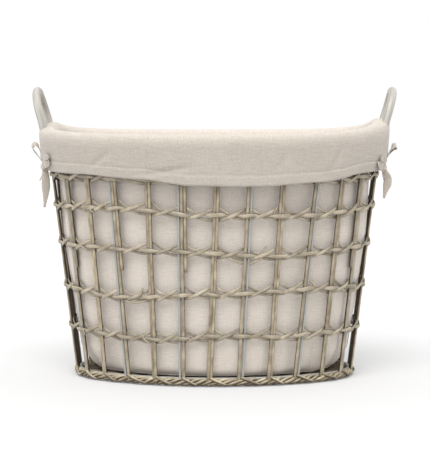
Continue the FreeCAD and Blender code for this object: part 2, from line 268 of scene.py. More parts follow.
def route_points(points, resolution=12):
    """Points read from the smooth NURBS line that has these control points."""
    curve = bpy.data.curves.new("route", "CURVE")
    curve.dimensions = "3D"
    curve.resolution_u = resolution
    spline = curve.splines.new("NURBS")
    spline.points.add(len(points) - 1)
    for control, point in zip(spline.points, points):
        control.co = (*point, 1.0)
    spline.use_endpoint_u = True
    spline.order_u = 3
    holder = bpy.data.objects.new("route", curve)
    bpy.context.scene.collection.objects.link(holder)
    bpy.context.view_layer.update()
    line = bpy.data.meshes.new_from_object(holder)
    found = [vert.co.copy() for vert in line.vertices]
    bpy.data.objects.remove(holder)
    bpy.data.curves.remove(curve)
    bpy.data.meshes.remove(line)
    return found


def section_place(centre, tangent, facing, half_width, half_thickness):
    """The matrix that puts a unit circle across a rod: its x is the width, its y the thickness."""
    tangent = tangent.normalized()
    facing = (facing - tangent * facing.dot(tangent)).normalized()
    width = facing.cross(tangent)
    columns = (width * half_width, facing * half_thickness, tangent)
    place = Matrix(columns).transposed().to_4x4()
    place.translation = centre
    return place


def tangents(points):
    last = len(points) - 1
    return [points[min(i + 1, last)] - points[max(i - 1, 0)] for i in range(last + 1)]


def sweep(places, sides, tone, closed=False):
    """A rod: a ring of edges extruded from place to place. It keeps where each point lies in the
    grain, across and along the rod, how far it is on the facing side, and the piece's tone."""
    piece = bmesh.new()
    grain = piece.verts.layers.float_vector.new("grain")
    tones = piece.verts.layers.float.new("tone")
    # How far each point lies towards the facing side, which the willow materials turn into painted shade on the
    # rods' sides and back
    shade_facing = piece.verts.layers.float.new("shade_facing")
    layers = (grain, tones, shade_facing)
    bmesh.ops.create_circle(piece, cap_ends=not closed, segments=sides, radius=1.0)
    ring = list(piece.verts)
    edges = list(piece.edges)
    first_edges = edges
    bmesh.ops.transform(piece, matrix=places[0], verts=ring)
    along = tone * 7.0
    mark_grain(ring, places[0], layers, along, tone)
    for before, now in zip(places, places[1:]):
        grown = bmesh.ops.extrude_edge_only(piece, edges=edges)["geom"]
        ring = [part for part in grown if isinstance(part, bmesh.types.BMVert)]
        members = set(ring)
        edges = [part for part in grown if isinstance(part, bmesh.types.BMEdge) and members.issuperset(part.verts)]
        bmesh.ops.transform(piece, matrix=now @ before.inverted(), verts=ring)
        along += (now.translation - before.translation).length
        mark_grain(ring, now, layers, along, tone)
    if closed:
        bmesh.ops.bridge_loops(piece, edges=edges + first_edges)
    else:
        bmesh.ops.edgenet_fill(piece, edges=edges)
    bmesh.ops.recalc_face_normals(piece, faces=piece.faces)
    return piece


def mark_grain(ring, place, layers, along, tone):
    grain, tones, shade_facing = layers
    back = place.inverted()
    across = place.col[0].length
    deep = place.col[1].length
    for vert in ring:
        local = back @ vert.co
        vert[grain] = (local.x * across, local.y * deep, along)
        vert[tones] = tone
        vert[shade_facing] = local.y


def finish_piece(name, parts, material, body, replaced=(), smooth=True):
    """Joins bmeshes into one object that rides on a body and stands for CAD nodes."""
    whole = bmesh.new()
    scrap = bpy.data.meshes.new("scrap")
    for part in parts:
        part.to_mesh(scrap)
        part.free()
        whole.from_mesh(scrap)
    bpy.data.meshes.remove(scrap)
    mesh = bpy.data.meshes.new(name)
    whole.to_mesh(mesh)
    whole.free()
    mesh.polygons.foreach_set("use_smooth", [smooth] * len(mesh.polygons))
    mesh.materials.append(material)
    piece = bpy.data.objects.new(name, mesh)
    bpy.context.scene.collection.objects.link(piece)
    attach(piece, body)
    if replaced:
        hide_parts(*replaced)
    return piece


# ---------------------------------------------------------------- materials


def colour(code):
    """An sRGB hex colour as linear RGBA."""
    channels = [int(code[i : i + 2], 16) / 255 for i in (0, 2, 4)]
    return (*[c / 12.92 if c <= 0.04045 else ((c + 0.055) / 1.055) ** 2.4 for c in channels], 1.0)


def add_node(tree, kind, inputs=None, **settings):
    """Adds a node: settings are its own, inputs are values or the sockets that feed them."""
    node = tree.nodes.new(kind)
    for name, value in settings.items():
        setattr(node, name, value)
    for name, value in (inputs or {}).items():
        if isinstance(value, bpy.types.NodeSocket):
            tree.links.new(value, node.inputs[name])
        else:
            node.inputs[name].default_value = value
    return node


def new_material(name, roughness, **sockets):
    """A material with its shader's plain numbers set, its node tree and its shader."""
    material = bpy.data.materials.new(name)
    material.use_nodes = True
    shader = material.node_tree.nodes["Principled BSDF"]
    shader.inputs["Roughness"].default_value = roughness
    for socket, value in sockets.items():
        shader.inputs[socket.replace("_", " ")].default_value = value
    return material, material.node_tree, shader


def washed_willow(name, dark, middle, light, edge, shade_from, shade_to):
    """Peeled willow with a grey wash: the wash sits pale on the skin, and darker streaks of unwashed wood run
    along the rod, so it looks dry, with a soft shine on its rounded back. Each rod's sides and back are darkened
    with painted shade."""
    material, tree, shader = new_material(name, 0.52, IOR=1.5)
    grain = add_node(tree, "ShaderNodeAttribute", attribute_name="grain")
    tone = add_node(tree, "ShaderNodeAttribute", attribute_name="tone")
    # Streaks 2 mm wide and some 40 mm long, where real fibres are finer than a pixel
    stretched = add_node(tree, "ShaderNodeMapping", {"Vector": grain.outputs["Vector"],
                                                     "Scale": (520.0, 520.0, 26.0)})
    streaks = add_node(tree, "ShaderNodeTexNoise", {"Vector": stretched.outputs[0], "Scale": 1.0,
                                                    "Detail": 5.0, "Roughness": 0.62})
    patches = add_node(tree, "ShaderNodeMapping", {"Vector": grain.outputs["Vector"],
                                                   "Scale": (60.0, 60.0, 45.0)})
    blotches = add_node(tree, "ShaderNodeTexNoise", {"Vector": patches.outputs[0], "Scale": 1.0,
                                                     "Detail": 3.0})
    washed = add_node(tree, "ShaderNodeMapRange", {"Value": streaks.outputs[0], "From Min": 0.33,
                                                   "From Max": 0.62})
    worn = add_node(tree, "ShaderNodeMapRange", {"Value": blotches.outputs[0], "From Min": 0.40,
                                                 "From Max": 0.72})
    skin = add_node(tree, "ShaderNodeMix", {0: washed.outputs[0], 6: colour(dark), 7: colour(middle)},
                    data_type="RGBA")
    pale = add_node(tree, "ShaderNodeMix", {0: worn.outputs[0], 6: skin.outputs[2], 7: colour(light)},
                    data_type="RGBA")
    shade = add_node(tree, "ShaderNodeMapRange", {"Value": tone.outputs["Fac"], "To Min": 0.80,
                                                  "To Max": 1.14})
    toned = add_node(tree, "ShaderNodeHueSaturation", {"Color": pale.outputs[2],
                                                       "Value": shade.outputs[0]})
    # Painted shade: the sides and back of each rod, away from the way it faces, are darkened towards the edge
    # colour
    depth = add_node(tree, "ShaderNodeAttribute", attribute_name="shade_facing")
    shade_facing = add_node(tree, "ShaderNodeMapRange", {"Value": depth.outputs["Fac"], "From Min": shade_from,
                                                  "From Max": shade_to})
    side_shade = add_node(tree, "ShaderNodeMix", {0: shade_facing.outputs[0], 6: colour(edge), 7: (1.0, 1.0, 1.0, 1.0)},
                    data_type="RGBA")
    with_side_shade = add_node(tree, "ShaderNodeMix", {0: 1.0, 6: toned.outputs[0], 7: side_shade.outputs[2]},
                     data_type="RGBA", blend_type="MULTIPLY")
    tree.links.new(with_side_shade.outputs[2], shader.inputs["Base Color"])
    bump = add_node(tree, "ShaderNodeBump", {"Height": streaks.outputs[0], "Strength": 0.5,
                                             "Distance": 0.0006})
    tree.links.new(bump.outputs[0], shader.inputs["Normal"])
    return material


def painted_wire():
    """Mild steel wire with a thin coat of grey-blue paint: smooth, with a soft highlight."""
    material, tree, shader = new_material("painted_wire", 0.38, IOR=1.5)
    place = add_node(tree, "ShaderNodeTexCoord")
    runs = add_node(tree, "ShaderNodeTexNoise", {"Vector": place.outputs["Object"], "Scale": 60.0,
                                                 "Detail": 4.0})
    paint = add_node(tree, "ShaderNodeMix", {0: runs.outputs[0], 6: colour("8b8d8a"),
                                             7: colour("a9aba8")}, data_type="RGBA")
    tree.links.new(paint.outputs[2], shader.inputs["Base Color"])
    bump = add_node(tree, "ShaderNodeBump", {"Height": runs.outputs[0], "Strength": 0.15,
                                             "Distance": 0.0004})
    tree.links.new(bump.outputs[0], shader.inputs["Normal"])
    return material


def plain_steel():
    """Bright drawn steel of small pegs."""
    material, tree, shader = new_material("plain_steel", 0.35, Metallic=1.0)
    shader.inputs["Base Color"].default_value = colour("b8b6b0")
    return material


def whitewashed_cane():
    """Bent cane with a worn white wash under satin lacquer: pale, faintly streaked along."""
    material, tree, shader = new_material("whitewashed_cane", 0.42, IOR=1.5)
    grain = add_node(tree, "ShaderNodeAttribute", attribute_name="grain")
    stretched = add_node(tree, "ShaderNodeMapping", {"Vector": grain.outputs["Vector"],
                                                     "Scale": (240.0, 240.0, 14.0)})
    streaks = add_node(tree, "ShaderNodeTexNoise", {"Vector": stretched.outputs[0], "Scale": 1.0,
                                                    "Detail": 5.0, "Roughness": 0.6})
    thin = add_node(tree, "ShaderNodeMapRange", {"Value": streaks.outputs[0], "From Min": 0.36,
                                                 "From Max": 0.6})
    wash = add_node(tree, "ShaderNodeMix", {0: thin.outputs[0], 6: colour("9b978f"),
                                            7: colour("bebbb4")}, data_type="RGBA")
    tree.links.new(wash.outputs[2], shader.inputs["Base Color"])
    bump = add_node(tree, "ShaderNodeBump", {"Height": streaks.outputs[0], "Strength": 0.25,
                                             "Distance": 0.0005})
    tree.links.new(bump.outputs[0], shader.inputs["Normal"])
    return material


def oatmeal_linen(name, dark, light, bag_dark, bag_light, thread=1.2 * MM):
    """Plain woven linen and cotton: matt, with uneven thicker threads across and along it. Real
    threads are 0.5 mm apart, drawn here over twice as coarse so that the weave shows."""
    material, tree, shader = new_material(name, 0.92, Sheen_Weight=0.25, Sheen_Roughness=0.5)
    cloth = add_node(tree, "ShaderNodeUVMap", uv_map="cloth")
    across = add_node(tree, "ShaderNodeMapping", {"Vector": cloth.outputs[0],
                                                  "Scale": (0.045 / thread, 0.8 / thread, 1.0)})
    along = add_node(tree, "ShaderNodeMapping", {"Vector": cloth.outputs[0],
                                                 "Scale": (0.8 / thread, 0.05 / thread, 1.0)})
    weft = add_node(tree, "ShaderNodeTexNoise", {"Vector": across.outputs[0], "Scale": 1.0,
                                                 "Detail": 2.0, "Roughness": 0.7})
    warp = add_node(tree, "ShaderNodeTexNoise", {"Vector": along.outputs[0], "Scale": 1.0,
                                                 "Detail": 2.0, "Roughness": 0.7})
    crossed = add_node(tree, "ShaderNodeMix", {0: 0.4, 2: weft.outputs[0], 3: warp.outputs[0]})
    lumps = add_node(tree, "ShaderNodeTexNoise", {"Vector": cloth.outputs[0], "Scale": 1 / (2.6 * MM),
                                                  "Detail": 3.0, "Roughness": 0.65})
    threads = add_node(tree, "ShaderNodeMix", {0: 0.42, 2: crossed.outputs[0], 3: lumps.outputs[0]})
    slubs = add_node(tree, "ShaderNodeMapRange", {"Value": threads.outputs[0], "From Min": 0.36,
                                                  "From Max": 0.64})
    yarn = add_node(tree, "ShaderNodeMix", {0: slubs.outputs[0], 6: colour(dark), 7: colour(light)},
                    data_type="RGBA")
    # Painted light: the bag, under the fold in the pattern, is given paler colours than the cuff, to make up for
    # the shade it lies in behind the weave
    pattern = add_node(tree, "ShaderNodeSeparateXYZ", {"Vector": cloth.outputs[0]})
    painted_light_mask = add_node(tree, "ShaderNodeMapRange", {"Value": pattern.outputs[1], "From Min": 0.03,
                                                  "From Max": -0.01})
    bag_painted_light = add_node(tree, "ShaderNodeMix", {0: slubs.outputs[0], 6: colour(bag_dark), 7: colour(bag_light)},
                     data_type="RGBA")
    whole = add_node(tree, "ShaderNodeMix", {0: painted_light_mask.outputs[0], 6: yarn.outputs[2], 7: bag_painted_light.outputs[2]},
                     data_type="RGBA")
    tree.links.new(whole.outputs[2], shader.inputs["Base Color"])
    bump = add_node(tree, "ShaderNodeBump", {"Height": threads.outputs[0], "Strength": 0.45,
                                             "Distance": 0.0007})
    tree.links.new(bump.outputs[0], shader.inputs["Normal"])
    return material


# ---------------------------------------------------------------- willow and cane


def rod_places(start, end, radius, seed, facing, bow=0.5 * MM):
    """A willow rod between two points: a slight bow, a taper and a few low growth rings."""
    chance = random.Random(seed)
    count = 22
    drift = Vector((chance.uniform(0, 9), chance.uniform(0, 9), chance.uniform(0, 9)))
    rings = [chance.uniform(0.1, 0.9) for _ in range(3)]
    points = []
    radii = []
    for index in range(count + 1):
        share = index / count
        sway = noise.noise_vector(drift + Vector((share * 2.2, 0, 0))) * bow * math.sin(math.pi * share)
        points.append(start.lerp(end, share) + Vector((sway.x, sway.y, 0)))
        swell = sum(math.exp(-(((share - ring) * count) ** 2)) for ring in rings)
        waver = noise.noise(drift + Vector((0, share * 6, 0)))
        radii.append(radius * (1.04 - 0.09 * share + 0.05 * waver + 0.05 * swell))
    return [
        section_place(point, tangent, facing, size, size)
        for point, tangent, size in zip(points, tangents(points), radii)
    ]


def make_stake(number, material):
    """One group: a pair of rods, or one beside a wire with or without a bye-stake pushed in."""
    outward = -1 if number > STAKE_COUNT / 2 else 1
    low = FOOT_BORDER_TOP - 7 * MM
    # Side at the foot and top, out at the foot, height of the foot and thickness of each rod
    if number % 2 == 0:
        members = [(-2.0, -2.6, 0.9, low, 1.0), (2.0, 2.6, -0.9, low, 1.0)]
    else:
        members = [(-2.7, 0.0, 0.0, low, 1.06)]
        if number in BYE_STAKES:
            members.append((-6.65, -5.2, 0.0, BYE_STAKE_FOOT, 0.96))
    rods = []
    for index, (foot_side, top_side, foot_out, bottom, thickness) in enumerate(members):
        foot = wall_point(number, outward * foot_side * MM, foot_out * MM, bottom)
        top = wall_point(number, outward * top_side * MM, 0, RIM_BORDER_BOTTOM + 5 * MM)
        seed = f"stake {number} {index}"
        facing = wall_outward(number, bottom)
        places = rod_places(foot, top, ROD_RADIUS * thickness, seed, facing)
        rods.append(sweep(places, 10, random.Random(seed).random()))
    name = f"stake_{number + 1:02d}"
    finish_piece(f"willow_{name}", rods, material, "basket", [name])


def row_wander(row, station):
    """How far up a row of weave lies at a stake, off its level."""
    from_front = (station + STAKE_COUNT / 2) % STAKE_COUNT - STAKE_COUNT / 2
    bends = ROW_BENDS[row]
    behind = abs(from_front) - bends[-1][0]
    if behind < 0:
        return on_curve(bends, from_front) * MM
    edge = bends[-1][1] if from_front > 0 else bends[0][1]
    drift = 7.0 * noise.noise(Vector((from_front * 0.35, row * 3.3, 0.7)))
    return (edge * max(1 - behind / 4, 0) + drift * min(behind / 3, 1)) * MM


def cane_places(row, number, height, seed):
    """A split cane, flat side to the stakes: it comes down steeply from behind one stake, lies as
    a pointed leaf across the front of the next, dips low behind the third and climbs in front of
    its neighbours to pass high behind the fourth."""
    chance = random.Random(seed)
    lift = chance.gauss(0, 0.8)
    lean = chance.gauss(0, 0.8)
    broad = chance.uniform(0.88, 1.12)
    top = 11.2 + chance.gauss(0, 1.2)
    low = -6.8 + chance.gauss(0, 0.7)
    # Stakes from its front one, out from the stakes, up, half width and half thickness in mm
    knots = [
        (-1.00, -4.6, top, 1.9, 1.0),
        (-0.90, -3.1, top + 0.5, 2.0, 1.0),
        (-0.78, -0.9, top - 3.4, 2.0, 1.0),
        (-0.64, -1.0, 3.6, 2.1, 1.0),
        (-0.50, -1.8, 1.4, 2.3, 1.0),
        (-0.34, 0.4, 0.4, 2.0, 1.2),
        (-0.18, 3.8, 0.2 + lean, 3.3, 1.5),
        (0.0, 4.7, 0.0, 3.8, 1.7),
        (0.18, 3.8, -0.2 - lean, 3.3, 1.5),
        (0.34, 0.4, -1.0, 2.0, 1.2),
        (0.50, -1.8, -3.4, 2.4, 1.0),
        (0.72, -2.2, -5.9, 2.5, 1.0),
        (0.90, -4.0, low, 2.5, 1.0),
        (1.0, -4.6, low, 2.5, 1.0),
        (1.10, -2.8, low + 0.4, 2.6, 1.1),
        (1.22, 1.4, -5.2, 2.9, 1.2),
        (1.36, 3.0, -2.6, 3.1, 1.3),
        (1.50, 3.4, 0.6, 3.2, 1.4),
        (1.64, 3.0, 3.9, 3.0, 1.3),
        (1.76, 1.6, 7.0, 2.7, 1.2),
        (1.88, -1.8, 9.8, 2.3, 1.1),
        (2.0, -4.6, top + 0.3, 1.9, 1.0),
    ]
    points = []
    outwards = []
    sizes = []
    for step, out, rise, half_width, half_thickness in smoothed(knots, 3):
        level = height + row_wander(row, number + step) + (rise + lift) * MM
        points.append(wall_point(number + step, 0, out * MM, level))
        outwards.append(wall_outward(number + step, level))
        sizes.append((half_width * broad * MM, half_thickness * MM))
    return [
        section_place(point, tangent, outward, *size)
        for point, tangent, outward, size in zip(points, tangents(points), outwards, sizes)
    ]


def loose_end_places(row, height, knots):
    """A cane's end left outside the weave, narrower towards its tip."""
    line = smoothed(knots, 5)
    points = []
    outwards = []
    for station, out, rise in line:
        level = height + row_wander(row, station) + rise * MM
        points.append(wall_point(station, 0, out * MM, level))
        outwards.append(wall_outward(station, level))
    last = len(line) - 1
    places = []
    for index, (point, tangent, outward) in enumerate(zip(points, tangents(points), outwards)):
        half_width = (2.3 - 0.9 * index / last) * MM
        places.append(section_place(point, tangent, outward, half_width, 0.9 * MM))
    return places


def make_weave_row(row, material):
    node = f"weave_row_{row + 1}"
    low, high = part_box(node)
    height = (low.z + high.z) / 2
    canes = []
    for number in range(STAKE_COUNT):
        seed = f"cane {row} {number}"
        canes.append(sweep(cane_places(row, number, height, seed), 10, random.Random(seed).random()))
    for on_row, *knots in LOOSE_ENDS:
        if on_row == row:
            canes.append(sweep(loose_end_places(row, height, knots), 8, 0.5))
    finish_piece(f"split_cane_row_{row + 1}", canes, material, "basket", [node])


def rope_places(height, out, twist_radius, strand_radius, turns, phase):
    """One strand of a border rope laid along the oval of the stakes."""
    count = 26 * 24
    oval = wall_oval(height)
    points = []
    for index in range(count):
        share = index / count
        middle = oval.at(share, out, height)
        outward = (oval.at(share, out + MM, height) - middle).normalized()
        wander = noise.noise(middle * 30 + Vector((phase, 0, 0)))
        angle = 2 * math.pi * (turns * share + phase) + 0.9 * wander
        radius = twist_radius * (1 + 0.12 * noise.noise(middle * 55 + Vector((0, phase, 0))))
        points.append(middle + outward * radius * math.cos(angle) + Vector((0, 0, radius * math.sin(angle))))
    places = []
    for index, point in enumerate(points):
        tangent = points[(index + 1) % count] - points[index - 1]
        size = strand_radius * (1 + 0.1 * noise.noise(point * 90))
        places.append(section_place(point, tangent, Vector((0, 0, 1)), size, size))
    return places


def make_foot_border(material):
    """Rods twisted together round the foot, with the stakes' ends turned down over them."""
    centre = 8.0 * MM
    strands = []
    for index in range(4):
        places = rope_places(centre, -2.2 * MM, 4.0 * MM, 2.8 * MM, 21, index / 4)
        strands.append(sweep(places, 8, 0.25 + 0.17 * index, closed=True))
    for number in range(STAKE_COUNT):
        strands.append(turned_down_end(number))
    finish_piece("willow_foot_border", strands, material, "basket", ["foot_border"])


def turned_down_end(number):
    """A stake's end laid slantwise over the outside of the foot border and tucked under."""
    chance = random.Random(f"turned end {number}")
    reach = chance.uniform(0.5, 0.85)
    lift = chance.uniform(-0.8, 1.0)
    knots = [
        (0.02, 0.4, 15.5, 2.3),
        (0.10, 2.4, 13.4 + lift, 2.3),
        (0.24, 3.9, 10.4 + lift, 2.2),
        (reach * 0.62, 4.1, 6.6, 2.1),
        (reach * 0.85, 2.6, 3.8, 1.9),
        (reach, -1.5, 2.8, 1.5),
    ]
    points = []
    sizes = []
    for step, out, height, radius in smoothed(knots, 5):
        points.append(wall_point(number + step, 0, out * MM, height * MM))
        sizes.append(radius * MM)
    places = [
        section_place(point, tangent, Vector((0, 0, 1)), size, size)
        for point, tangent, size in zip(points, tangents(points), sizes)
    ]
    return sweep(places, 8, chance.random())


def make_rim_border(material):
    centre = (RIM_BORDER_BOTTOM + RIM_BORDER_TOP) / 2
    strands = []
    for index in range(3):
        places = rope_places(centre, -3.5 * MM, 3.4 * MM, 3.3 * MM, 21, index / 3)
        strands.append(sweep(places, 8, 0.3 + 0.2 * index, closed=True))
    finish_piece("willow_rim_border", strands, material, "basket", ["rim_border"])


def make_base(material):
    """Ribs across the foot with rods woven over and under them."""
    low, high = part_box("base_ribs")
    rib_height = 7.4 * MM
    rib_radius = (high.z - low.z) / 2
    spacing = 33.0 * MM
    inside = wall_oval(rib_height).grown(-8 * MM)
    ribs = []
    for index in range(-6, 7):
        x = index * spacing
        reach = reach_along_y(inside, x)
        ends = [Vector((x, side * reach, rib_height)) for side in (-1, 1)]
        places = rod_places(*ends, rib_radius * 0.95, f"rib {index}", Vector((0, 0, 1)), 0.3 * MM)
        ribs.append(sweep(places, 10, random.Random(f"rib {index}").random()))
    finish_piece("willow_base_ribs", ribs, material, "basket", ["base_ribs"])

    rod_radius = 2.3 * MM
    rise = rib_radius + rod_radius - 0.3 * MM
    rods = []
    for index in range(-11, 12):
        y = index * 11.5 * MM
        reach = reach_along_x(inside, abs(y) + rod_radius)
        side = 1 if index % 2 else -1
        points = []
        steps = max(8, int(reach / spacing * 16))
        for step in range(steps + 1):
            x = -reach + 2 * reach * step / steps
            points.append(Vector((x, y, rib_height + side * rise * math.cos(math.pi * x / spacing))))
        tone = random.Random(f"base rod {index}").random()
        places = [
            section_place(point, tangent, Vector((0, 1, 0)), rod_radius, rod_radius)
            for point, tangent in zip(points, tangents(points))
        ]
        rods.append(sweep(places, 8, tone))
    finish_piece("willow_base_rods", rods, material, "basket", ["base_rods"])


def reach_along_x(oval, y):
    """Half the oval's width at a distance y from its long axis."""
    if abs(y) < oval.end * math.sin(oval.turn):
        return oval.end_centre + math.sqrt(oval.end**2 - y**2)
    return math.sqrt(oval.side**2 - (abs(y) + oval.side_centre) ** 2)


def reach_along_y(oval, x):
    """Half the oval's depth at a distance x from its short axis."""
    if abs(x) < oval.side * math.cos(oval.turn):
        return math.sqrt(oval.side**2 - x**2) - oval.side_centre
    return math.sqrt(oval.end**2 - (abs(x) - oval.end_centre) ** 2)


# ---------------------------------------------------------------- handles

HANDLE_RADIUS = 6.9 * MM
HANDLE_POINTS = [
    (275.5, 45.0, 364.0),
    (285.6, 45.0, 424.0),
    (294.3, 44.0, 453.0),
    (299.3, 30.0, 473.5),
    (300.6, 10.5, 482.3),
]
BINDING_START = 3.0 * MM
BINDING_LENGTH = 20.0 * MM


def make_handle(side, name, cane, binding):
    half = [Vector((side * x, -y, z)) * MM for x, y, z in HANDLE_POINTS]
    points = half + [Vector((p.x, -p.y, p.z)) for p in reversed(half)]
    line = route_points(points, 10)
    centre = Vector((side * 0.28, 0, 0.42))
    places = []
    for point, tangent in zip(line, tangents(line)):
        size = HANDLE_RADIUS * (1 + 0.025 * noise.noise(point * 40))
        places.append(section_place(point, tangent, point - centre, size, size))
    bow = sweep(places, 24, 0.5)
    finish_piece(f"cane_handle_{name}", [bow], cane, "basket", [f"handle_{name}"])

    wraps = []
    foot, above = half[0], half[1]
    for near in (-1, 1):
        axis = Vector((above.x - foot.x, 0, above.z - foot.z)).normalized()
        base = Vector((foot.x, near * abs(foot.y), foot.z)) + axis * BINDING_START
        places = []
        across = axis.cross(Vector((0, 1, 0))).normalized()
        turns = 5
        steps = 24 * turns
        for step in range(steps + 1):
            angle = 2 * math.pi * step / 24
            radial = across * math.cos(angle) + Vector((0, 1, 0)) * math.sin(angle)
            centre_line = base + axis * ((BINDING_LENGTH - 4 * MM) * step / steps + 2 * MM)
            point = centre_line + radial * (HANDLE_RADIUS + 0.8 * MM)
            tangent = axis.cross(radial)
            places.append(section_place(point, tangent, radial, 2.2 * MM, 0.7 * MM))
        wraps.append(sweep(places, 8, 0.4 + 0.2 * near))
    finish_piece(f"willow_binding_{name}", wraps, binding, "basket",
                 [f"handle_binding_{name}"])


# ---------------------------------------------------------------- the liner

# The fold over the rim, from the bag wall to the cuff: out from the stakes and up from the rim's
# top, in mm
FOLD_KNOTS = [
    (-13.0, -18.7),
    (-12.6, -12.2),
    (-10.2, -5.2),
    (-5.5, -1.1),
    (0.0, -0.3),
    (5.6, -1.5),
    (10.2, -5.5),
    (12.3, -11.7),
    (12.8, -18.7),
]
FOLD_LINE = smoothed(FOLD_KNOTS, 8)
CUFF_TOP = RIM_TOP + FOLD_KNOTS[-1][1] * MM
OPENING = 2.5 * MM
LEG_DISTANCE = 46.0 * MM

# How far the cloth is pushed up at the end of the rim by the handles' legs, and over what
# distance that dies away, in mm, for the front right, back right, back left and front left
RIM_LIFTS = ((40.0, 68.0), (42.0, 68.0), (30.0, 68.0), (18.0, 62.0))

# The cuff's lower edge: distance from the end of the rim and height in mm, left and right
HEM_LEFT = ((0, 351), (140, 348), (250, 342), (340, 332), (400, 332))
HEM_RIGHT = ((0, 352), (90, 350), (190, 336), (290, 331), (400, 332))

# Creases of the cuff: along the rim from the front's middle and height, at both ends, and depth
CREASES = (
    ((-118.0, 346.0), (-20.0, 362.0), 3.0),
    ((-205.0, 352.0), (-150.0, 388.0), 2.4),
    ((92.0, 348.0), (128.0, 390.0), 1.0),
    ((192.0, 352.0), (215.0, 396.0), 1.2),
)


def line_lengths(line):
    lengths = [0.0]
    for before, now in zip(line, line[1:]):
        lengths.append(lengths[-1] + math.dist(before, now) * MM)
    return lengths


FOLD_LENGTHS = line_lengths(FOLD_LINE)
CREST_LENGTH = FOLD_LENGTHS[len(FOLD_LINE) // 2]
INNER_FOLD = CREST_LENGTH
OUTER_FOLD = FOLD_LENGTHS[-1] - CREST_LENGTH


def fold_place(run):
    """Distance out from the stakes and height at a distance along the fold from its crest, which
    is positive towards the inside."""
    along = CREST_LENGTH - run
    for index in range(len(FOLD_LENGTHS) - 1):
        if along <= FOLD_LENGTHS[index + 1]:
            break
    span = FOLD_LENGTHS[index + 1] - FOLD_LENGTHS[index]
    share = (along - FOLD_LENGTHS[index]) / span
    out, height = [a + (b - a) * share for a, b in zip(FOLD_LINE[index], FOLD_LINE[index + 1])]
    return out * MM, RIM_TOP + height * MM


def smoothstep(value, start, end):
    t = min(max((value - start) / (end - start), 0.0), 1.0)
    return t * t * (3 - 2 * t)


BAG_RIM = wall_oval(RIM_TOP).grown(-BAG_RIM_INSET)


def bag_oval(height, inset=0.0):
    """The outline of the hanging bag at a height."""
    rise = (height - BAG_FOOT) / (RIM_TOP - BAG_FOOT)
    half_length = BAG_FOOT_HALF_LENGTH + (BAG_RIM.end_centre + BAG_RIM.end - BAG_FOOT_HALF_LENGTH) * rise
    half_depth = BAG_FOOT_HALF_DEPTH + (BAG_RIM.side - BAG_RIM.side_centre - BAG_FOOT_HALF_DEPTH) * rise
    end_radius = BAG_FOOT_END_RADIUS + (BAG_RIM.end - BAG_FOOT_END_RADIUS) * rise
    return Oval(half_length - inset, half_depth - inset, end_radius - inset)


def end_distance(share):
    """Distance along the rim from the nearer end of the oval."""
    return abs(share % 0.5 - 0.25) * BAG_RIM.length


def on_curve(knots, along):
    """The height at a distance, on a smooth line through knots of distance and height."""
    for (start, first), (end, last) in zip(knots, knots[1:]):
        if along <= end:
            break
    return first + (last - first) * smoothstep(along, start, end)


def hem_height(share):
    """The cuff's lower edge: lowest at the front and back, drawn up towards the ties."""
    knots = HEM_RIGHT if share % 1.0 < 0.5 else HEM_LEFT
    waver = 0.5 * MM * noise.noise(Vector((share * BAG_RIM.length / 0.018, 4.0, 9.0)))
    return on_curve(knots, end_distance(share) / MM) * MM + waver


def rim_lift(share):
    """How far the crest of the fold stands above the level rim."""
    quarter = share % 1.0 * 4
    across_end = ((quarter % 2.0) - 1.0) * BAG_RIM.length / 4
    blend = smoothstep(across_end, -45 * MM, 45 * MM)
    first, second = (0, 1) if quarter < 2 else (3, 2)
    if quarter >= 2:
        blend = 1 - blend
    height, fading = [a + (b - a) * blend for a, b in zip(RIM_LIFTS[first], RIM_LIFTS[second])]
    near_end = max(end_distance(share), 42 * MM)
    waver = 1.2 * noise.noise(Vector((share * BAG_RIM.length / 0.05, 1.0, 6.0)))
    return (height * math.exp(-near_end / (fading * MM)) + waver * math.exp(-near_end / 0.15)) * MM


def crease(share, height):
    """The hollow of the cuff's creases."""
    along = (share + 0.5) % 1.0 - 0.5
    spot = Vector((along * BAG_RIM.length, height))
    hollow = 0.0
    for start, end, depth in CREASES:
        start, end = Vector(start) * MM, Vector(end) * MM
        line = end - start
        share_along = (spot - start).dot(line) / line.length_squared
        if 0 < share_along < 1:
            off = (spot - start - line * share_along).length / (4.5 * MM)
            hollow += depth * MM * math.exp(-off * off) * math.sin(math.pi * share_along)
    return hollow


def over_legs(share):
    """How far the cloth stands out over the legs of the handles."""
    near_end = end_distance(share)
    round_leg = math.exp(-(((near_end - LEG_DISTANCE) / (20 * MM)) ** 2))
    return 2.2 * MM * (1 - smoothstep(near_end, 45 * MM, 105 * MM)) + 2.6 * MM * round_leg


def cuff_slack(share, drop, length):
    """How far the hanging cuff stands out in soft waves, or is drawn in by the ties."""
    near_end = end_distance(share)
    gathered = smoothstep(drop / length, 0.62, 1.0)
    drawn_in = -11.0 * MM * (1 - smoothstep(near_end, 35 * MM, 100 * MM)) * gathered
    around = share * BAG_RIM.length
    broad = noise.noise(Vector((around / 0.075, drop / 0.13, 3.7))) * 7.0 * MM
    fine = noise.noise(Vector((around / 0.026, drop / 0.045, 8.1))) * 2.0 * MM
    grow = 0.35 + 0.65 * smoothstep(drop, 0.0, 0.06)
    calm = 1 - 0.75 * (1 - smoothstep(near_end, 30 * MM, 80 * MM))
    return drawn_in + (broad + fine) * grow * calm - crease(share, CUFF_TOP - drop)


def outside_point(share, run, hem_layer=0.0):
    """A point of the cuff at a distance down the outside from the crest of the fold."""
    down = run - OUTER_FOLD
    if down < 0:
        out, height = fold_place(-run)
        slope = 0.0
    else:
        out = FOLD_KNOTS[-1][0] * MM
        height = CUFF_TOP - down * 0.993
        slope = down
    length = (CUFF_TOP - hem_height(share)) / 0.993
    settle = smoothstep(run, 0.25 * OUTER_FOLD, 1.3 * OUTER_FOLD)
    slack = cuff_slack(share, slope, length) * settle
    slack += over_legs(share) * smoothstep(run, 0.0, 0.45 * OUTER_FOLD)
    oval = wall_oval(height)
    height += rim_lift(share) * (1 - smoothstep(run, 0.0, OUTER_FOLD + 0.7 * length))
    return oval.at(share, out + slack - hem_layer, height)


